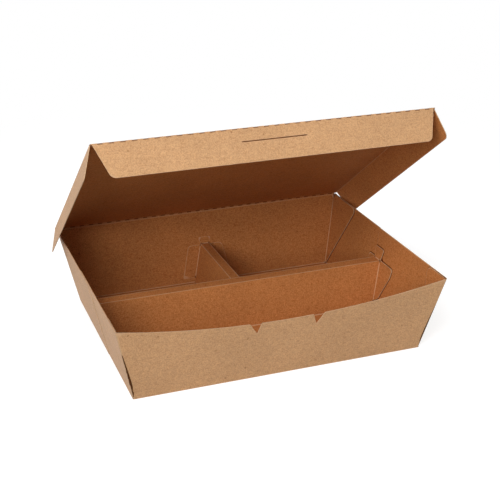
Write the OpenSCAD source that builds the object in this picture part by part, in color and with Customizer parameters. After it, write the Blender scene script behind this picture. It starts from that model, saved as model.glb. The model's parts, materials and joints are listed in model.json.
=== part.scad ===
// Takeaway box of kraft board with three compartments and a hinged lid, open as in the photograph.
// Millimetres, +Z up. The box rests on z = 0, its long side runs along X and its front faces -Y.
// The tray is one folded blank: two floor halves with a hollow ridge folded up between them, four
// flared walls, corner glue flaps, and side walls in two panels that lap at the end of the ridge.

/* [Board] */

// thickness of the kraft board
board_t = 0.45; // [0.3:0.05:0.8]
// radius of a rounded fold along an edge of the lid
crease_r = 0.3; // [0.25:0.05:0.6]
// radius of a dash, where the fold is cut through and the board stands proud
dash_r = 0.4; // [0.35:0.05:0.8]
// length of one dash of a cut fold
dash_l = 3.6; // [1:0.1:8]
// distance from one dash to the next
dash_pitch = 7.1; // [4:0.1:15]
// play between a fold and the panel that turns about it
fold_gap = 0.3; // [0.2:0.05:0.6]
// film of glue between the cross divider and the tray
glue_gap = 0.05; // [0.02:0.01:0.2]

/* [Tray] */

// length of the floor along X
base_l = 206; // [120:1:320]
// depth of the floor along Y
base_w = 160; // [90:1:260]
// how far the rim stands out beyond the floor on every side
flare = 12; // [4:0.5:25]
// height of the rim above the table
tray_h = 55.5; // [30:0.5:100]

/* [Front wall] */

// how far the middle of the front rim dips below its ends, along the wall
dip_depth = 12; // [2:0.5:20]
// width of the locking tab between the bottoms of its two notches
tab_w = 41.5; // [20:0.5:80]
// depth of the two notches beside the locking tab
notch_depth = 7.8; // [3:0.1:15]
// width of a notch on the tab's side of its tip
notch_inner = 2.6; // [1:0.1:6]
// width of a notch on the other side of its tip
notch_outer = 5; // [1:0.1:10]

/* [Side walls] */

// depth where the edge of the inner panel meets the rim, behind the ridge's middle
seam_back = 8.5; // [5:0.5:20]
// how far the outer panel runs on in front of the ridge's middle
lap_front = 15; // [8:0.5:30]
// how far the top of that lap lies under the rim
lap_drop = 1.2; // [0.5:0.1:4]
// gap between the free end of a side panel and the corner of the tray
corner_relief = 0.6; // [0.2:0.1:2]

/* [Glue flaps] */

// width of the back wall's glue flap near the rim
back_flap_w = 39; // [10:0.5:55]
// width of the front wall's glue flap near the rim
front_flap_w = 24; // [10:0.5:55]
// how far a glue flap's top edge lies under the rim
flap_drop = 0.6; // [0.2:0.1:4]
// radius of a glue flap's top corner
flap_r = 3; // [1:0.5:8]

/* [Long ridge] */

// height of the ridge that parts front from back
ridge_h = 34.3; // [15:0.1:50]
// width of the ridge at the floor
ridge_base = 19; // [10:0.5:40]
// width of the ridge's flat top
ridge_top = 8.8; // [4:0.1:20]
// distance of the ridge's middle behind the box's middle
ridge_y = 0.5; // [-30:0.5:30]
// length of the top edge of an end tab on the front face
ridge_tab_w = 19.7; // [8:0.1:30]
// length of the top edge of an end tab on the back face
ridge_back_tab_w = 10; // [4:0.1:30]
// height of the tab that stands up at each end of the ridge
ridge_top_tab_h = 8.3; // [3:0.1:15]

/* [Cross divider] */

// height of the divider between the two back compartments
cross_h = 30; // [12:0.5:45]
// width of the divider at the floor
cross_base = 22; // [10:0.5:40]
// width of the divider's flat top
cross_top = 7; // [4:0.1:20]
// distance of the divider's middle to the right of the box's middle
cross_x = 0; // [-40:0.5:40]
// width of the glue tabs at the divider's two ends
cross_tab_w = 10; // [4:0.5:20]
// height of the tab that stands up on the back wall
cross_top_tab_h = 5; // [2:0.1:12]

/* [Lid] */

// how far the lid's front fold stands out over the rim when the box is closed
lid_over_front = 1.4; // [1:0.1:5]
// how far each of the lid's side folds stands out over the rim
lid_over_side = 1; // [0.8:0.1:5]
// angle between the lid and the rim, 0 when the box is closed
lid_open = 36; // [0:1:180]
// depth of the front flap
front_flap_d = 23; // [10:0.5:40]
// how much shorter each end of the front flap is at its free edge
front_flap_slant = 8; // [0:0.5:20]
// angle that the front flap is folded down from the lid
front_flap_fold = 86; // [0:1:100]
// length of the slit that takes the locking tab
slit_l = 44; // [20:0.5:90]
// width of that slit
slit_w = 0.8; // [0.5:0.1:2]
// distance of the slit from the front fold
slit_d = 9; // [4:0.5:20]
// depth of the side flaps
side_flap_d = 21; // [10:0.5:40]
// how much shorter the front end of a side flap is at its free edge
side_flap_slant = 3; // [0:0.5:15]
// how much shorter the back end of a side flap is at its free edge
side_flap_back_slant = 6; // [0:0.5:20]
// angle that the side flaps are folded down from the lid
side_flap_fold = 72; // [0:1:100]
// gap between neighbouring flaps at a corner of the lid, along each fold
corner_gap = 1; // [0.8:0.1:4]
// radius of a flap's free corners
flap_corner_r = 4.5; // [1:0.5:10]

/* [Hidden] */

$fn = 48;
arc_steps = 5;
weld = 0.1;
press = 0.02;
half_t = board_t / 2;
fold_sides = 8;

rim_l = base_l + 2 * flare;
rim_w = base_w + 2 * flare;

// slope and slant height of the four walls, and slope of the ridge and the cross divider
wall_lean = atan(flare / tray_h);
wall_run = tray_h / cos(wall_lean);
ridge_lean = atan((ridge_base - ridge_top) / 2 / ridge_h);
cross_lean = atan((cross_base - cross_top) / 2 / cross_h);

// hinge line of the lid, just over the back rim, and the lid's own size
hinge_y = rim_w / 2 - dash_r;
hinge_z = tray_h + dash_r + fold_gap;
lid_l = rim_l + 2 * lid_over_side;
lid_d = rim_w / 2 + hinge_y + lid_over_front;

// distance from a fold's middle to the panel that turns about it
cut_fold_off = dash_r + fold_gap;
fold_off = crease_r + fold_gap;

kraft = [0.74, 0.58, 0.42];
kraft_pale = [0.79, 0.64, 0.48];

// Outlines

function unit(v) = v / norm(v);

function turn(from, to) = let (a = to - from) a > 180 ? a - 360 : a < -180 ? a + 360 : a;

// the arc that rounds corner b between its neighbours a and c
function corner_arc(a, b, c, r) =
    let (u = unit(a - b), v = unit(c - b), half = acos(u * v) / 2)
    let (centre = b + unit(u + v) * r / sin(half))
    let (p = b + u * r / tan(half) - centre, q = b + v * r / tan(half) - centre)
    let (start = atan2(p.y, p.x), sweep = turn(start, atan2(q.y, q.x)))
    [for (k = [0:arc_steps]) let (at = start + sweep * k / arc_steps) centre + r * [cos(at), sin(at)]];

// an outline whose corners are given as [x, y, radius]
function rounded(corners) =
    let (n = len(corners), at = [for (c = corners) [c.x, c.y]])
    [for (i = [0:n - 1]) each corners[i].z > 0
        ? corner_arc(at[(i + n - 1) % n], at[i], at[(i + 1) % n], corners[i].z)
        : [at[i]]];

// half length of the floor side of a wall, a slant distance s up the wall
function side_half(s) = base_w / 2 + flare * s / wall_run;
function end_half(s) = base_l / 2 + flare * s / wall_run;

// inside half length between the side walls at height z, with this many layers of board on each
function inner_half(z, layers) = base_l / 2 + z * tan(wall_lean) - layers * board_t / cos(wall_lean);

// depth of the back wall's inside at height z, with this many layers of board on it
function back_inside(z, layers) = base_w / 2 + z * tan(wall_lean) - layers * board_t / cos(wall_lean);

// half width of the long ridge and of the cross divider at height z
function ridge_half(z) = ridge_base / 2 - z * tan(ridge_lean);
function cross_half(z) = cross_base / 2 - z * tan(cross_lean);

// Places for flat panels. A side wall has three layers of board: 0 is the outer panel, 1 the inner panel
// or the back wall's glue flap, and 2 the ridge's tabs and the front wall's glue flap.

// a 2D shape drawn as (y, slant height) becomes a panel of a side wall, in the given layer from outside;
// a glued layer is pressed a little into the one outside it
module on_side(side, layer) {
    sunk = layer > 0 ? press : 0;
    mirror([side < 0 ? 1 : 0, 0, 0])
        translate([base_l / 2, 0, 0])
            rotate([0, wall_lean, 0])
                translate([-(layer + 1) * board_t, 0, 0])
                    rotate([90, 0, 90])
                        linear_extrude(board_t + sunk) children();
}

// a 2D shape drawn as (x, slant height) becomes a panel of the front (-1) or back (1) wall
module on_end(end, depth) {
    mirror([0, end > 0 ? 1 : 0, 0])
        translate([0, -base_w / 2, 0])
            rotate([wall_lean, 0, 0])
                translate([0, depth + board_t, 0])
                    rotate([90, 0, 0])
                        linear_extrude(board_t) children();
}

// a 2D shape drawn as (x, slant height) becomes a panel on the front (-1) or back (1) face of the ridge
module on_ridge(face, depth) {
    translate([0, ridge_y, 0])
        mirror([0, face > 0 ? 1 : 0, 0])
            translate([0, -ridge_base / 2, 0])
                rotate([-ridge_lean, 0, 0])
                    translate([0, depth + board_t, 0])
                        rotate([90, 0, 0])
                            linear_extrude(board_t) children();
}

// a 2D shape drawn as (x, distance behind the hinge line, negative to the front) lies in the lid's plane
module in_lid() {
    translate([0, hinge_y, hinge_z])
        rotate([-lid_open, 0, 0])
            children();
}

module sheet() {
    translate([0, 0, -board_t / 2])
        linear_extrude(board_t) children();
}

// a round bead along X, and the proud dashes of a cut fold
module bead(length, r) {
    translate([-length / 2, 0, 0])
        rotate([0, 90, 0])
            cylinder(h = length, r = r, $fn = fold_sides);
}

module dashes(length) {
    count = floor((length - dash_l) / dash_pitch);
    for (k = [0:count])
        translate([(k - count / 2) * dash_pitch, 0, 0])
            bead(dash_l, dash_r);
}

// Tray

// floor, in two halves that end at the feet of the ridge
module floor_halves() {
    half_l = base_l / 2 - half_t;
    half_w = base_w / 2 - half_t;
    front_end = ridge_y - ridge_base / 2 + board_t;
    back_end = ridge_y + ridge_base / 2 - board_t;
    translate([-half_l, -half_w, 0])
        cube([2 * half_l, front_end + half_w, board_t]);
    translate([-half_l, back_end, 0])
        cube([2 * half_l, half_w - back_end, board_t]);
}

// front wall with its dipped rim and the locking tab between two notches
module front_wall() {
    half = rim_l / 2;
    dip_r = (half * half + dip_depth * dip_depth) / (2 * dip_depth);
    inset = 2.5 * board_t;
    on_end(-1, 0)
        difference() {
            polygon([
                [-end_half(0) + inset, 0],
                [end_half(0) - inset, 0],
                [end_half(wall_run) - inset, wall_run],
                [-end_half(wall_run) + inset, wall_run]
            ]);
            translate([0, wall_run - dip_depth + dip_r])
                circle(r = dip_r, $fn = 360);
            for (s = [-1, 1])
                translate([s * tab_w / 2, wall_run - dip_depth])
                    notch(s);
        }
}

// a V cut that opens upwards, past the rim
module notch(s) {
    over = 3;
    rise = (notch_depth + over) / notch_depth;
    polygon([
        [0, -notch_depth],
        [s * notch_outer * rise, over],
        [-s * notch_inner * rise, over]
    ]);
}

module back_wall() {
    inset = 1.5 * board_t;
    on_end(1, 0)
        polygon([
            [-end_half(0) + inset, 0],
            [end_half(0) - inset, 0],
            [end_half(wall_run) - inset, wall_run],
            [-end_half(wall_run) + inset, wall_run]
        ]);
}

// outer panel of a side wall, on the back half of the floor, with the lap that runs on to the front
module outer_side_panel(side) {
    lap_end = ridge_y - lap_front;
    on_side(side, 0)
        polygon([
            [side_half(0) - corner_relief, 0],
            [side_half(wall_run) - corner_relief, wall_run],
            [ridge_y + seam_back, wall_run],
            [ridge_y + seam_back - lap_drop, wall_run - lap_drop],
            [lap_end, wall_run - lap_drop],
            [lap_end, 0]
        ]);
}

// inner panel of a side wall, on the front half of the floor
module inner_side_panel(side) {
    ridge_s = ridge_h / cos(wall_lean);
    on_side(side, 1)
        polygon([
            [-side_half(0) + corner_relief, 0],
            [ridge_y + ridge_half(0) - half_t, 0],
            [ridge_y + ridge_half(ridge_h) - half_t, ridge_s],
            [ridge_y + seam_back, wall_run],
            [-side_half(wall_run) + corner_relief, wall_run]
        ]);
}

// glue flap of an end wall, folded in along the corner: a long triangle with a rounded top corner
module glue_flap(side, end, layer, width) {
    inset = 0.7 * board_t;
    top = wall_run - flap_drop;
    shoulder = top - flap_r;
    on_side(side, layer)
        mirror([end > 0 ? 0 : 1, 0])
            polygon(rounded([
                [side_half(0) - inset, 0, 0],
                [side_half(top) - inset, top, 0],
                [side_half(top) - width + flap_r / 2, top, flap_r],
                [side_half(shoulder) - width, shoulder, flap_r],
                [side_half(0) - 1.5, 1.5, 0]
            ]));
}

// long ridge: front face, flat top and back face, closed at its ends by tabs on the side walls
module ridge_face(face) {
    foot = board_t * tan(ridge_lean);
    top = ridge_h / cos(ridge_lean);
    on_ridge(face, 0)
        polygon([
            [-inner_half(0, 2) - weld, foot],
            [inner_half(0, 2) + weld, foot],
            [inner_half(ridge_h, 2) + weld, top],
            [-inner_half(ridge_h, 2) - weld, top]
        ]);
}

module ridge_top_strip() {
    half = inner_half(ridge_h, 2) + weld;
    translate([-half, ridge_y - ridge_top / 2 + half_t, ridge_h - board_t])
        cube([2 * half, ridge_top - board_t, board_t]);
}

// end tab of a ridge face: narrow at the floor, where its board is shared with the side panel
module ridge_side_tab(side, face, width, layer) {
    top = ridge_h / cos(wall_lean);
    crease_low = ridge_half(ridge_h * 0.09);
    crease_mid = ridge_half(ridge_h * 0.24);
    on_side(side, layer)
        translate([ridge_y, 0])
            mirror([face > 0 ? 0 : 1, 0])
                polygon(rounded([
                    [crease_low - 1, top * 0.09, 0],
                    [crease_mid + width * 0.3, top * 0.24, 1.5],
                    [ridge_half(ridge_h * 0.78) + width * 0.88, top * 0.78, 3],
                    [ridge_top / 2 + width, top, 2],
                    [ridge_top / 2 - 1, top, 0]
                ]));
}

module ridge_top_tab(side) {
    base = ridge_h / cos(wall_lean) - board_t;
    top = (ridge_h + ridge_top_tab_h) / cos(wall_lean);
    splay = ridge_top_tab_h * 0.25;
    on_side(side, 2)
        translate([ridge_y, 0])
            polygon(rounded([
                [-ridge_top / 2, base, 0],
                [ridge_top / 2, base, 0],
                [ridge_top / 2 + splay, top, 1.5],
                [-ridge_top / 2 - splay, top, 1.5]
            ]));
}

module tray() {
    color(kraft)
        union() {
            floor_halves();
            front_wall();
            back_wall();
            ridge_top_strip();
            for (face = [-1, 1])
                ridge_face(face);
            for (side = [-1, 1]) {
                outer_side_panel(side);
                inner_side_panel(side);
                glue_flap(side, 1, 1, back_flap_w);
                glue_flap(side, -1, 2, front_flap_w);
                ridge_side_tab(side, -1, ridge_tab_w, 2);
                ridge_side_tab(side, 1, ridge_back_tab_w, 1);
                ridge_top_tab(side);
            }
        }
}

// Cross divider

// one leaning face, cut to the back wall and to the long ridge at its ends
module cross_face(side) {
    low = board_t + glue_gap;
    rise = 1 / cos(cross_lean);
    foot = (low + board_t * sin(cross_lean)) * rise;
    front_low = ridge_y + ridge_half(low) + board_t / cos(ridge_lean) + glue_gap;
    front_high = ridge_y + ridge_half(cross_h) + board_t / cos(ridge_lean) + glue_gap;
    translate([cross_x, 0, 0])
        mirror([side > 0 ? 1 : 0, 0, 0])
            translate([-cross_base / 2, 0, 0])
                rotate([0, cross_lean, 0])
                    rotate([90, 0, 90])
                        linear_extrude(board_t)
                            polygon([
                                [front_low - weld, foot],
                                [back_inside(low, 2) - glue_gap + weld, foot],
                                [back_inside(cross_h, 2) - glue_gap + weld, cross_h * rise],
                                [front_high - weld, cross_h * rise]
                            ]);
}

module cross_top_strip() {
    front = ridge_y + ridge_half(cross_h) + board_t / cos(ridge_lean) + glue_gap;
    back = back_inside(cross_h, 2) - glue_gap;
    translate([cross_x - cross_top / 2 + half_t, front - half_t, cross_h - board_t])
        cube([cross_top - board_t, back - front + board_t, board_t]);
}

// glue tab beside the divider's crease, drawn as (x, slant height) on a wall of the given lean
module cross_side_tab(side, lean) {
    low = 4;
    high = cross_h - 0.8;
    translate([cross_x, 0])
        mirror([side > 0 ? 0 : 1, 0])
            polygon(rounded([
                [cross_half(low) - 1, low / cos(lean), 0],
                [cross_half(low) + cross_tab_w, low / cos(lean), 1],
                [cross_half(high) + cross_tab_w, high / cos(lean), 3],
                [cross_half(high) - 1, high / cos(lean), 0]
            ]));
}

module cross_top_tab() {
    base = (cross_h - board_t) / cos(wall_lean);
    top = (cross_h + cross_top_tab_h) / cos(wall_lean);
    splay = cross_top_tab_h * 0.28;
    translate([cross_x, 0])
        polygon(rounded([
            [-cross_top / 2, base, 0],
            [cross_top / 2, base, 0],
            [cross_top / 2 + splay, top, 1],
            [-cross_top / 2 - splay, top, 1]
        ]));
}

module cross_divider() {
    color(kraft_pale)
        union() {
            cross_top_strip();
            for (side = [-1, 1]) {
                cross_face(side);
                on_end(1, board_t + glue_gap)
                    cross_side_tab(side, wall_lean);
                on_ridge(1, -board_t - glue_gap)
                    cross_side_tab(side, ridge_lean);
            }
            on_end(1, board_t + glue_gap)
                cross_top_tab();
        }
}

// Lid and its flaps

module lid() {
    color(kraft)
        in_lid() {
            sheet()
                translate([-lid_l / 2, -lid_d])
                    square([lid_l, lid_d]);
            for (y = [0, -lid_d])
                translate([0, y, 0]) {
                    bead(lid_l, crease_r);
                    dashes(lid_l);
                }
            for (side = [-1, 1])
                translate([side * lid_l / 2, -lid_d / 2, 0])
                    rotate([0, 0, 90])
                        bead(lid_d, crease_r);
        }
}

module lid_front_flap() {
    half = lid_l / 2 - corner_gap;
    color(kraft_pale)
        in_lid()
            translate([0, -lid_d, 0])
                rotate([front_flap_fold, 0, 0])
                    sheet()
                        difference() {
                            polygon(rounded([
                                [-half, -cut_fold_off, 0],
                                [half, -cut_fold_off, 0],
                                [half - front_flap_slant, -front_flap_d, flap_corner_r],
                                [-half + front_flap_slant, -front_flap_d, flap_corner_r]
                            ]));
                            translate([0, -slit_d])
                                square([slit_l, slit_w], center = true);
                        }
}

// side flap on the right (1) or left (-1), drawn as (distance from the fold, y)
module side_flap(side) {
    front = -lid_d + corner_gap;
    back = -corner_gap;
    in_lid()
        mirror([side < 0 ? 1 : 0, 0, 0])
            translate([lid_l / 2, 0, 0])
                rotate([0, side_flap_fold, 0])
                    sheet()
                        polygon(rounded([
                            [fold_off, front, 0],
                            [side_flap_d, front + side_flap_slant, flap_corner_r],
                            [side_flap_d, back - side_flap_back_slant, flap_corner_r],
                            [fold_off, back, 0]
                        ]));
}

module lid_left_flap() {
    color(kraft)
        side_flap(-1);
}

module lid_right_flap() {
    color(kraft)
        side_flap(1);
}

tray();
cross_divider();
lid();
lid_front_flap();
lid_left_flap();
lid_right_flap();
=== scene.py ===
import json
import math

import bmesh
import bpy
import numpy as np
from mathutils import Matrix, Vector


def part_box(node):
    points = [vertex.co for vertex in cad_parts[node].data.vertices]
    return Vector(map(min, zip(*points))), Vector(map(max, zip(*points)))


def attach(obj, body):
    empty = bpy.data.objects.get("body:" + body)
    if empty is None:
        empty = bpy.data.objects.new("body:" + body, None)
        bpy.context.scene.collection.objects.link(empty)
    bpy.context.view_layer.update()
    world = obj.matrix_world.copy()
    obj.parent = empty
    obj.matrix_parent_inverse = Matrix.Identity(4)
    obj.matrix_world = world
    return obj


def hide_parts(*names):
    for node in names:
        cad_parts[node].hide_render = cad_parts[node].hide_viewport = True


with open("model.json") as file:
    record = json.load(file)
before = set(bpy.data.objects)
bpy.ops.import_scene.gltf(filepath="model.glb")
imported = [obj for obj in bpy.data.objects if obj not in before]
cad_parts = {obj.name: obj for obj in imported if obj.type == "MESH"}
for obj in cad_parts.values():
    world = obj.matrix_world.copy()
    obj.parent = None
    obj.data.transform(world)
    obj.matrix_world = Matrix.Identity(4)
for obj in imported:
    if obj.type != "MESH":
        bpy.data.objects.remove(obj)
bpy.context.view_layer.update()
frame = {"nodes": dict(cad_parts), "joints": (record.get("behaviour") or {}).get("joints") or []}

# Takeaway box of kraft board. All lengths are in metres, in the frame's own axes.

MM = 0.001
BOARD = 0.45 * MM

NODES = frame["nodes"]
JOINTS = {joint["name"]: joint for joint in frame["joints"]}
BODY_OF = {
    "tray": "tray",
    "cross_divider": "tray",
    "lid": "lid",
    "lid_front_flap": "lid_front_flap",
    "lid_left_flap": "lid_left_flap",
    "lid_right_flap": "lid_right_flap",
}


# Shader nodes

# A Mix node's colour sockets share their names with its number sockets, so they go by place.
MIX_A, MIX_B, MIX_RESULT = 6, 7, 2
WHITE = (1.0, 1.0, 1.0)


def rgb(colour, factor=1.0):
    """A colour as a socket takes it, made darker or lighter by a factor."""
    return (*(factor * c for c in colour), 1.0)


class Nodes:
    """Adds and links the shader nodes of a material or a world."""

    def __init__(self, owner):
        owner.use_nodes = True
        self.tree = owner.node_tree
        self.tree.nodes.clear()

    def add(self, kind, **settings):
        node = self.tree.nodes.new(kind)
        for key, value in settings.items():
            setattr(node, key, value)
        return node

    def put(self, value, socket):
        """Links an output to a socket, or sets the socket to a value."""
        if isinstance(value, bpy.types.NodeSocket):
            self.tree.links.new(value, socket)
        else:
            socket.default_value = value

    def place(self):
        """Where a point is in its object's own coordinates."""
        return self.add("ShaderNodeTexCoord").outputs["Object"]

    def attribute(self, name):
        return self.add("ShaderNodeAttribute", attribute_name=name).outputs["Fac"]

    def math(self, operation, a, b=0.0):
        node = self.add("ShaderNodeMath", operation=operation)
        self.put(a, node.inputs[0])
        self.put(b, node.inputs[1])
        return node.outputs[0]

    def ramp(self, value, low, high, to_low=0.0, to_high=1.0):
        """Goes softly from to_low to to_high while the value goes from low to high."""
        node = self.add("ShaderNodeMapRange", interpolation_type="SMOOTHSTEP")
        for socket, x in zip(node.inputs, (value, low, high, to_low, to_high)):
            self.put(x, socket)
        return node.outputs[0]

    def noise(self, where, scale, detail, roughness=0.5, stretch=(1, 1, 1), turn=(0, 0, 0)):
        mapping = self.add("ShaderNodeMapping")
        mapping.inputs["Scale"].default_value = stretch
        mapping.inputs["Rotation"].default_value = turn
        self.put(where, mapping.inputs["Vector"])
        node = self.add("ShaderNodeTexNoise")
        node.inputs["Scale"].default_value = scale
        node.inputs["Detail"].default_value = detail
        node.inputs["Roughness"].default_value = roughness
        self.put(mapping.outputs[0], node.inputs["Vector"])
        return node.outputs["Fac"]

    def mix(self, factor, a, b, blend="MIX"):
        node = self.add("ShaderNodeMix", data_type="RGBA", blend_type=blend)
        self.put(factor, node.inputs["Factor"])
        self.put(a, node.inputs[MIX_A])
        self.put(b, node.inputs[MIX_B])
        return node.outputs[MIX_RESULT]

    def shade(self, colour, amount, tint):
        """Multiplies a colour by a tint, by the given amount."""
        return self.mix(amount, colour, self.mix(1.0, colour, rgb(tint), "MULTIPLY"))

    def glow(self, kind, strength):
        """White light of a strength, from an emission or a background node."""
        node = self.add(kind)
        node.inputs["Color"].default_value = rgb(WHITE)
        node.inputs["Strength"].default_value = strength
        return node.outputs[0]

    def seen(self):
        """1 for what the camera sees, also in a reflection, and 0 for light on its way to the box."""
        path = self.add("ShaderNodeLightPath")
        return self.math("MAXIMUM", path.outputs["Is Camera Ray"], path.outputs["Is Glossy Ray"])

    def choose(self, factor, at_zero, at_one):
        """Mixes two shaders."""
        node = self.add("ShaderNodeMixShader")
        for socket, x in zip(node.inputs, (factor, at_zero, at_one)):
            self.put(x, socket)
        return node.outputs[0]

    def surface(self, kind, shader):
        """Joins the shader to an output node."""
        self.put(shader, self.add(kind).inputs["Surface"])


# Kraft board

# Scales of the noises, in cells per metre
CLOUD_SCALE = 40
PULP_SCALE = 330
GRAIN_SCALE = 1250
ALONG_SCALE = 1050
ACROSS_SCALE = 1150
LAYER_SCALE = 1500
BLOT_SCALE = 260

# What the board's own colour is multiplied by, also to paint shade along glued seams and in the cuts of a
# perforated fold
PULP_TINT = (1.06, 1.06, 1.05)
DARK_GRAIN = (0.87, 0.82, 0.77)
PALE_GRAIN = (1.13, 1.15, 1.17)
DARK_FIBRE = (0.82, 0.75, 0.68)
DARK_FLECK = (0.52, 0.38, 0.27)
PALE_FLECK = (1.22, 1.26, 1.30)
# Painted shadow along the seam where a glued flap's edge lies on the board
GLUED_EDGE_SHADOW = (0.30, 0.20, 0.14)
# Painted shade in the slits where a perforated fold is cut through
SLIT_SHADE = (0.42, 0.34, 0.28)
BLOT = (0.80, 0.74, 0.68)

# Colour of the board where folds and edges are rubbed pale, and of the painted highlight along its
# rounded folds
PALE_WEAR_AND_HIGHLIGHT = (0.66, 0.41, 0.235)

# Cells per metre, the share of the cells that stay empty, and the tint
FLECKS = ((150, 0.62, DARK_FLECK), (260, 0.55, PALE_FLECK))
FLECK_SIZE = 0.12
FLECK_AMOUNT = 0.6

# A perforated fold is cut through over this share of each pitch
DASH_PITCH = 7.1 * MM
CUT_SHARE = 0.48

# What each vertex of a board knows its distance to
MARKS = ("fold", "edge", "seam", "perforated")

BUMP_STRENGTH = 0.4


def nicks(n, where, perforated):
    """1 where a perforated fold is cut through, between the dashes that hold it."""
    split = n.add("ShaderNodeSeparateXYZ")
    n.put(where, split.inputs[0])
    phase = n.math("FRACT", n.math("DIVIDE", split.outputs["X"], DASH_PITCH))
    from_middle = n.math("ABSOLUTE", n.math("SUBTRACT", phase, 0.5))
    gap = n.math("LESS_THAN", from_middle, CUT_SHARE / 2)
    return n.math("MULTIPLY", gap, n.ramp(perforated, 0.60 * MM, 1.0 * MM, 1.0, 0.0))


def flecks(n, where, scale, empty):
    """Small round spots, up to FLECK_SIZE of a cell, in the cells that are not left empty."""
    cells = n.add("ShaderNodeTexVoronoi")
    n.put(where, cells.inputs["Vector"])
    cells.inputs["Scale"].default_value = scale
    kind = n.add("ShaderNodeSeparateColor")
    n.put(cells.outputs["Color"], kind.inputs[0])
    size = n.ramp(kind.outputs[0], empty, 1.0, 0.0, FLECK_SIZE)
    return n.math("MULTIPLY", n.math("LESS_THAN", cells.outputs["Distance"], size), FLECK_AMOUNT)


def board_surface(n, colour, roughness, height, depth, gloss, sheen=0.0):
    """Ends a board's material: a matt surface, with a bump that is this deep."""
    bump = n.add("ShaderNodeBump")
    bump.inputs["Strength"].default_value = BUMP_STRENGTH
    bump.inputs["Distance"].default_value = depth
    n.put(height, bump.inputs["Height"])
    shader = n.add("ShaderNodeBsdfPrincipled")
    n.put(colour, shader.inputs["Base Color"])
    n.put(roughness, shader.inputs["Roughness"])
    n.put(bump.outputs[0], shader.inputs["Normal"])
    shader.inputs["Specular IOR Level"].default_value = gloss
    shader.inputs["Sheen Weight"].default_value = sheen
    n.surface("ShaderNodeOutputMaterial", shader.outputs[0])


def kraft(name, base, sheen, gloss, wear_and_highlight, grit):
    """Kraft board: cloudy pulp, fine fibres that lie every way, flecks, folds and edges rubbed pale, a
    painted highlight along the folds, and painted shade at glued seams and perforation cuts.
    """
    material = bpy.data.materials.new(name)
    n = Nodes(material)
    where = n.place()
    fold, edge, seam, perforated = (n.attribute(mark) for mark in MARKS)

    cloud = n.noise(where, CLOUD_SCALE, 3)
    pulp = n.noise(where, PULP_SCALE, 3, 0.6)
    grain = n.noise(where, GRAIN_SCALE, 2, 0.6)
    along = n.noise(where, ALONG_SCALE, 3, 0.6, stretch=(0.3, 1, 1), turn=(0.1, 0.05, 0.6))
    across = n.noise(where, ACROSS_SCALE, 3, 0.6, stretch=(1, 0.35, 0.6), turn=(0, 0.3, 0.9))
    fibre = n.math("ADD", n.math("MULTIPLY", along, 0.5), n.math("MULTIPLY", across, 0.5))

    colour = n.mix(n.ramp(cloud, 0.32, 0.68), rgb(base, 0.96), rgb(base, 1.03))
    colour = n.shade(colour, n.ramp(pulp, 0.34, 0.66), PULP_TINT)
    colour = n.shade(colour, n.ramp(grain, 0.36, 0.52, grit, 0.0), DARK_GRAIN)
    colour = n.shade(colour, n.ramp(grain, 0.50, 0.66, 0.0, grit), PALE_GRAIN)
    colour = n.shade(colour, n.ramp(fibre, 0.38, 0.52, 0.8 * grit, 0.0), DARK_FIBRE)
    for scale, empty, tint in FLECKS:
        colour = n.shade(colour, flecks(n, where, scale, empty), tint)

    # Folds and edges are rubbed pale unevenly; along a fold the pale is partly rubbed fibre and partly a
    # painted highlight on the fold's round, and a perforated fold gets less of it than a pressed one.
    ragged_fold = n.math("ADD", fold, n.math("MULTIPLY", pulp, 0.5 * MM))
    worn_and_highlit = n.ramp(ragged_fold, 0.45 * MM, 1.0 * MM, wear_and_highlight, 0.0)
    worn_and_highlit = n.math("MULTIPLY", worn_and_highlit, n.ramp(perforated, 1.0 * MM, 2.0 * MM, 0.35, 1.0))
    colour = n.mix(worn_and_highlit, colour, rgb(PALE_WEAR_AND_HIGHLIGHT))
    ragged_edge = n.math("ADD", edge, n.math("MULTIPLY", fibre, 0.4 * MM))
    rubbed = n.ramp(ragged_edge, 0.25 * MM, 0.60 * MM, 0.55, 0.0)
    colour = n.mix(rubbed, colour, rgb(PALE_WEAR_AND_HIGHLIGHT))
    # Painted shadow along the seams where a glued layer ends
    colour = n.shade(colour, n.ramp(seam, 0.40 * MM, 1.3 * MM, 1.0, 0.0), GLUED_EDGE_SHADOW)
    # Painted shade in the cut slits of a perforated fold
    colour = n.shade(colour, nicks(n, where, perforated), SLIT_SHADE)

    height = n.math("ADD", n.math("MULTIPLY", grain, 0.7), n.math("MULTIPLY", fibre, 0.6))
    dent = n.ramp(fold, 0.0, 0.9 * MM, -0.8, 0.0)
    height = n.math("ADD", height, dent)
    roughness = n.ramp(pulp, 0.25, 0.75, 0.62, 0.80)
    board_surface(n, colour, roughness, height, 0.12 * MM, gloss, sheen)
    return material


def kraft_cut(name, base):
    """The cut edge of the board: layered pulp, pale on a plain cut edge and dark as painted shade in a
    corner gap.
    """
    material = bpy.data.materials.new(name)
    n = Nodes(material)
    where = n.place()
    layers = n.noise(where, LAYER_SCALE, 3, 0.6)
    blots = n.noise(where, BLOT_SCALE, 2)
    colour = n.mix(n.ramp(layers, 0.35, 0.65), rgb(base, 0.82), rgb(base))
    colour = n.shade(colour, n.ramp(blots, 0.45, 0.75, 0.0, 0.4), BLOT)
    roughness = n.ramp(layers, 0.3, 0.7, 0.8, 0.95)
    board_surface(n, colour, roughness, layers, 0.1 * MM, gloss=0.1)
    return material


OUTSIDE = kraft("kraft_outside", (0.595, 0.340, 0.168), sheen=0.10, gloss=0.25, wear_and_highlight=0.6, grit=0.9)
INSIDE = kraft("kraft_inside", (0.475, 0.187, 0.060), sheen=0.0, gloss=0.06, wear_and_highlight=0.75, grit=1.2)
CUT = kraft_cut("kraft_cut_edge", (0.66, 0.44, 0.26))
# Cut ends inside the front corners' gaps, painted dark as the gap's shade
GAP_SHADE = kraft_cut("kraft_gap_painted_shade", (0.10, 0.036, 0.012))
MATERIALS = (OUTSIDE, INSIDE, CUT, GAP_SHADE)


# Flat regions of a board and the lines between them

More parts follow.
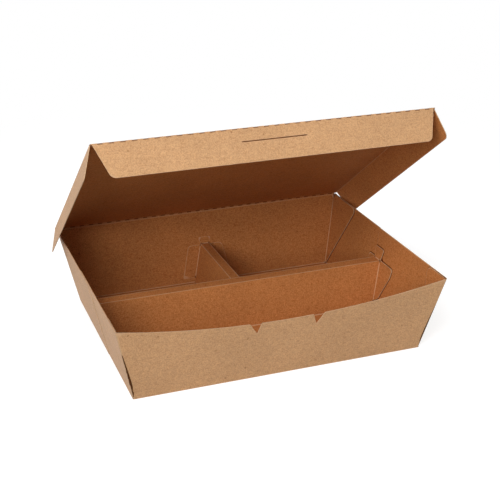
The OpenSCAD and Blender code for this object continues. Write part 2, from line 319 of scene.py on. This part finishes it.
# Faces that lie within this angle of each other are one flat region.
FLAT = math.radians(6)
STRIP_WIDTH = 1.6 * BOARD


def regions(bm):
    """Numbers each face by the flat region that it belongs to, and lists the faces of each region."""
    number = {}
    members = []
    for first in bm.faces:
        if first in number:
            continue
        number[first] = len(members)
        members.append([first])
        stack = [first]
        while stack:
            face = stack.pop()
            for e in face.edges:
                for other in e.link_faces:
                    if other not in number and face.normal.angle(other.normal, 0.0) < FLAT:
                        number[other] = number[first]
                        members[-1].append(other)
                        stack.append(other)
    return number, members


def is_narrow(faces):
    """True if a flat region is a strip no wider than about one board thickness."""
    area = sum(face.calc_area() for face in faces)
    points = [v.co for face in faces for v in face.verts]
    length = max((end - point).length for end in (points[0], points[-1]) for point in points)
    return area < STRIP_WIDTH * length


def lines_between(bm, number, narrow, folded_strips):
    """The folds, the cut edges, and the seams where a glued layer ends, each a list of edges."""
    folds, cuts, seams = [], [], []
    for e in bm.edges:
        if len(e.link_faces) != 2:
            continue
        a, b = (number[face] for face in e.link_faces)
        if a == b or (narrow[a] and narrow[b]):
            continue
        ends = tuple(tuple(v.co) for v in e.verts)
        if folded_strips or not (narrow[a] or narrow[b]):
            folds.append(ends)
        elif e.is_convex:
            cuts.append(ends)
        else:
            seams.append(ends)
    return folds, cuts, seams


FAR_AWAY = 1.0
NO_LENGTH = 1e-18


def nearest(points, normals, segments, through_board):
    """Distance of each point to the nearest segment.

    What part of it lies behind or before the point's own face counts through_board times,
    so that a line doesn't show on the other side of the board.
    """
    best = np.full(len(points), FAR_AWAY)
    for a, b in segments:
        a, b = np.array(a), np.array(b)
        d = b - a
        t = np.clip(((points - a) @ d) / max(d @ d, NO_LENGTH), 0.0, 1.0)
        gap = points - (a + t[:, None] * d)
        depth = (gap * normals).sum(1)
        best = np.minimum(best, np.sqrt((gap * gap).sum(1) + (through_board ** 2 - 1) * depth ** 2))
    return best


# Changes to the shapes of boards

GRID = 5 * MM
GRID_SHIFT = 0.37
ON_PLANE = 1e-6

# A flap's board within this distance of its fold line is run on to the line.
FOLD_REACH = 2 * BOARD

# The back wall's rim is taken from RIM_DROP below the hinge line and from RIM_SPLIT inside it.
# What lies more than RIM_SPLIT outside the line is the rim's outer side, the rest its inner side,
# and each side is put HINGE_HALF from the line.
RIM_DROP = 2 * BOARD
RIM_SPLIT = 0.15 * MM
HINGE_HALF = 0.4 * BOARD

# The tray's foot and the slope of its walls
FOOT_HALF = 103 * MM
FOOT_FRONT = 80 * MM
SLOPE = 12 / 55.5

# The gap at the two front corners lies in front of FRONT, from GAP_LOW up to GAP_HIGH.
# GAP_CURVE is under 1, so the gap is widest low down. The front wall ends WALL_END in from
# the side wall's outer face, and vertices within ON_LINE of that end are moved.
FRONT = -79 * MM
GAP_LOW = 2 * MM
GAP_HIGH = 37 * MM
GAP_WIDEST = 1.1 * MM
GAP_CURVE = 0.6
WALL_END = 2.5 * BOARD
ON_LINE = 0.1 * MM

# The gap's inner faces, by their height and by their distance in from the side wall; they get the painted
# shade
GAP_FACES_LOW = 1.5 * MM
GAP_FACES_OUTER = 1.7 * BOARD
GAP_FACES_INNER = 5 * BOARD


def cut_grid(bm, low, high):
    """Cuts all faces along evenly spaced planes square to the three axes."""
    for axis in range(3):
        first = math.ceil(low[axis] / GRID)
        last = math.floor(high[axis] / GRID)
        for k in range(first, last + 1):
            at = Vector((0, 0, 0))
            normal = Vector((0, 0, 0))
            at[axis] = (k + GRID_SHIFT) * GRID
            normal[axis] = 1.0
            geometry = list(bm.verts) + list(bm.edges) + list(bm.faces)
            bmesh.ops.bisect_plane(bm, geom=geometry, dist=ON_PLANE, plane_co=at, plane_no=normal)


def reach_fold(bm, joint):
    """Runs a flap's board on to the line that it folds about, inside the round bead of the lid's edge."""
    at = Vector(JOINTS[joint]["pos_m"])
    axis = Vector(JOINTS[joint]["axis"]).normalized()
    middle = sum((v.co for v in bm.verts), Vector()) / len(bm.verts) - at
    out = (middle - middle.dot(axis) * axis).normalized()
    for v in bm.verts:
        off = (v.co - at).dot(out)
        if off < FOLD_REACH:
            v.co -= off * out


def reach_hinge(bm, joint):
    """Runs the back wall's rim on to the hinge line."""
    at = Vector(JOINTS[joint]["pos_m"])
    for v in bm.verts:
        if v.co.z > at.z - RIM_DROP and v.co.y > at.y - RIM_SPLIT:
            v.co.y = at.y + math.copysign(HINGE_HALF, v.co.y - at.y - RIM_SPLIT)
            v.co.z = at.z


def open_corner(bm):
    """Opens the gap between the front wall and the side panels at the two front corners."""
    for v in bm.verts:
        x, y, z = v.co
        if y > FRONT or not GAP_LOW < z < GAP_HIGH:
            continue
        end = FOOT_HALF + SLOPE * z - WALL_END
        front = -FOOT_FRONT - SLOPE * z
        if abs(abs(x) - end) < ON_LINE and abs(y - front) < ON_LINE:
            share = (z - GAP_LOW) / (GAP_HIGH - GAP_LOW)
            v.co.x -= math.copysign(GAP_WIDEST * math.sin(math.pi * share ** GAP_CURVE), x)


def in_gap(centre):
    """True for a narrow face inside the gap of a front corner."""
    if centre.y > FRONT or not GAP_FACES_LOW < centre.z < GAP_HIGH:
        return False
    inward = FOOT_HALF + SLOPE * centre.z - abs(centre.x)
    return GAP_FACES_OUTER < inward < GAP_FACES_INNER


# Boards: each CAD node's sheet, cut into a fine grid, with its folds and cut edges marked

SAME_POINT = 2e-6
SAME_LINE = 1e-6
THROUGH_BOARD = 5
LID_HALF = 116 * MM


def across_box(joint):
    """The line of a fold that runs along X."""
    x, y, z = JOINTS[joint]["pos_m"]
    return (-LID_HALF, y, z), (LID_HALF, y, z)


PERFORATED = [across_box("lid_hinge"), across_box("front_flap_fold")]


def board(name, node, inside_faces, folded_strips=False, reach=None, joint=None):
    """A piece with the CAD node's own shape, refined so that its marks are fine."""
    bm = bmesh.new()
    bm.from_mesh(NODES[node].data)
    if reach:
        reach(bm, joint)
    bmesh.ops.remove_doubles(bm, verts=bm.verts, dist=SAME_POINT)
    bmesh.ops.dissolve_degenerate(bm, edges=bm.edges, dist=SAME_LINE)
    bm.normal_update()

    strip = bm.faces.layers.int.new("strip")
    number, members = regions(bm)
    narrow = [is_narrow(faces) for faces in members]
    for face, k in number.items():
        face[strip] = int(narrow[k] and not folded_strips)
    lines = (*lines_between(bm, number, narrow, folded_strips), PERFORATED)

    cut_grid(bm, *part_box(node))
    if node == "tray":
        open_corner(bm)
    bmesh.ops.triangulate(bm, faces=bm.faces, quad_method="BEAUTY", ngon_method="BEAUTY")
    bm.normal_update()

    for face in bm.faces:
        centre = face.calc_center_median()
        if face[strip]:
            # Cut ends in a front corner's gap get the painted shade.
            material = GAP_SHADE if node == "tray" and in_gap(centre) else CUT
        else:
            material = INSIDE if inside_faces(centre, face.normal) else OUTSIDE
        face.material_index = MATERIALS.index(material)
        face.smooth = False

    mesh = bpy.data.meshes.new(name)
    bm.to_mesh(mesh)
    bm.free()
    for material in MATERIALS:
        mesh.materials.append(material)
    points = np.array([v.co for v in mesh.vertices], float)
    normals = np.array([v.normal for v in mesh.vertices], float)
    for mark, segments in zip(MARKS, lines):
        through_board = 1 if mark == "perforated" else THROUGH_BOARD
        distance = nearest(points, normals, segments, through_board)
        layer = mesh.attributes.new(mark, "FLOAT", "POINT")
        layer.data.foreach_set("value", distance.astype(np.float32))
    piece = bpy.data.objects.new(name, mesh)
    bpy.context.scene.collection.objects.link(piece)
    return piece


def dress(name, node, inside_faces, **options):
    """Puts a board in the place of its CAD node."""
    piece = board(name, node, inside_faces, **options)
    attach(piece, BODY_OF[node])
    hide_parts(node)


# A point well above the tray, which the inner side of every wall and divider faces
OVER_TRAY = Vector((0, 0, 1.6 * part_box("tray")[1].z))

# A normal that points down more than this belongs to the floor's underside or a ridge's hollow.
UNDERSIDE = -0.35

# A point low in the middle of the tray, which the inner side of every flap of the lid faces
BOX_MIDDLE = Vector((0, 0, 40 * MM))


def faces_inward(centre, normal):
    """Inside of the tray: what faces up or in, except the underside of the floor and the hollow ridge."""
    return normal.dot(OVER_TRAY - centre) > 0 and normal.z > UNDERSIDE


def faces_down(centre, normal):
    """Inside of the lid's panel."""
    return normal.z < 0


def faces_box(centre, normal):
    """Inside of a flap of the lid: what faces the middle of the open box."""
    return normal.dot(BOX_MIDDLE - centre) > 0


dress("tray_board", "tray", faces_inward, reach=reach_hinge, joint="lid_hinge")
dress("cross_divider_board", "cross_divider", faces_inward)
dress("lid_board", "lid", faces_down, folded_strips=True)
for side in ("front", "left", "right"):
    fold = side + "_flap_fold"
    dress(side + "_flap_board", f"lid_{side}_flap", faces_box, reach=reach_fold, joint=fold)


# Camera, at the photograph's place

IMAGE = 500
CAMERA_AT = Vector((-240.6, -672.8, 354.7)) * MM
CAMERA_YAW = math.radians(19.92)
CAMERA_DOWN = math.radians(22.62)
CAMERA_ROLL = math.radians(-0.28)
FOCAL_PIXELS = 1084.6
CENTRE_X = 250 - 4.5
CENTRE_Y = 250 + 0.6
SENSOR = 36.0
NEAREST_SEEN = 0.05
FARTHEST_SEEN = 20.0


def make_camera():
    """The camera, turned by its yaw, then down, then about its own line of sight."""
    forward = Vector((
        math.sin(CAMERA_YAW) * math.cos(CAMERA_DOWN),
        math.cos(CAMERA_YAW) * math.cos(CAMERA_DOWN),
        -math.sin(CAMERA_DOWN),
    ))
    level = Vector((math.cos(CAMERA_YAW), -math.sin(CAMERA_YAW), 0))
    upright = level.cross(forward)
    right = math.cos(CAMERA_ROLL) * level + math.sin(CAMERA_ROLL) * upright
    up = -math.sin(CAMERA_ROLL) * level + math.cos(CAMERA_ROLL) * upright
    data = bpy.data.cameras.new("camera")
    data.sensor_width = SENSOR
    data.lens = FOCAL_PIXELS * SENSOR / IMAGE
    data.shift_x = (IMAGE / 2 - CENTRE_X) / IMAGE
    data.shift_y = (CENTRE_Y - IMAGE / 2) / IMAGE
    data.clip_start = NEAREST_SEEN
    data.clip_end = FARTHEST_SEEN
    camera = bpy.data.objects.new("camera", data)
    turn = Matrix((right, up, -forward)).transposed().to_4x4()
    camera.matrix_world = Matrix.Translation(CAMERA_AT) @ turn
    bpy.context.scene.collection.objects.link(camera)
    bpy.context.scene.camera = camera


make_camera()


# Floor, background and light

FLOOR_HALF = 4.0
FLOOR_DROP = 0.02 * MM
FLOOR_COLOUR = (0.42, 0.42, 0.42)
FLOOR_GLOW = 0.72
WORLD_STRENGTH = 0.09

# The floor keeps the box's shadow up to the first distance and is plain white from the second on.
SHADOW_TO = 0.22
WHITE_FROM = 0.6

LIGHT_AIM = Vector((0, 0, 60 * MM))
LIGHT_DISTANCE = 2.0


def make_floor():
    """A pale floor: it lights the box as plain grey, and the camera sees it near white."""
    corners = [(x * FLOOR_HALF, y * FLOOR_HALF, 0) for x, y in ((-1, -1), (1, -1), (1, 1), (-1, 1))]
    mesh = bpy.data.meshes.new("floor")
    mesh.from_pydata(corners, [], [(0, 1, 2, 3)])
    floor = bpy.data.objects.new("floor", mesh)
    floor.location.z = -FLOOR_DROP
    bpy.context.scene.collection.objects.link(floor)

    material = bpy.data.materials.new("floor_white")
    n = Nodes(material)
    matt = n.add("ShaderNodeBsdfDiffuse")
    matt.inputs["Color"].default_value = rgb(FLOOR_COLOUR)
    near = n.add("ShaderNodeAddShader")
    n.put(matt.outputs[0], near.inputs[0])
    n.put(n.glow("ShaderNodeEmission", FLOOR_GLOW), near.inputs[1])
    white = n.glow("ShaderNodeEmission", 1.0)
    distance = n.add("ShaderNodeVectorMath", operation="LENGTH")
    n.put(n.place(), distance.inputs[0])
    far = n.ramp(distance.outputs["Value"], SHADOW_TO, WHITE_FROM)
    shown = n.choose(far, near.outputs[0], white)
    n.surface("ShaderNodeOutputMaterial", n.choose(n.seen(), matt.outputs[0], shown))
    mesh.materials.append(material)


def make_world():
    """White to the camera, and a weak soft light from all round to the box."""
    world = bpy.data.worlds.new("world")
    bpy.context.scene.world = world
    n = Nodes(world)
    soft = n.glow("ShaderNodeBackground", WORLD_STRENGTH)
    white = n.glow("ShaderNodeBackground", 1.0)
    n.surface("ShaderNodeOutputWorld", n.choose(n.seen(), soft, white))


def soft_box(name, around, above, width, height, power):
    """A soft rectangular light that faces the box.

    It stands this many degrees around the box, where 0 is the front, and above the floor.
    """
    turn = math.radians(around)
    rise = math.radians(above)
    back = Vector((math.sin(turn) * math.cos(rise), -math.cos(turn) * math.cos(rise), math.sin(rise)))
    data = bpy.data.lights.new(name, "AREA")
    data.shape = "RECTANGLE"
    data.size = width
    data.size_y = height
    data.energy = power
    light = bpy.data.objects.new(name, data)
    light.location = LIGHT_AIM + LIGHT_DISTANCE * back
    light.rotation_mode = "QUATERNION"
    light.rotation_quaternion = back.to_track_quat("Z", "Y")
    bpy.context.scene.collection.objects.link(light)


make_floor()
make_world()
soft_box("key", around=-42, above=33, width=0.9, height=1.8, power=42.0)
soft_box("front_fill", around=5, above=35, width=1.0, height=1.0, power=3.0)
soft_box("back_fill", around=165, above=35, width=1.6, height=1.2, power=18.0)
soft_box("right_fill", around=100, above=28, width=1.4, height=1.2, power=9.0)

bpy.context.scene.view_settings.view_transform = "Standard"
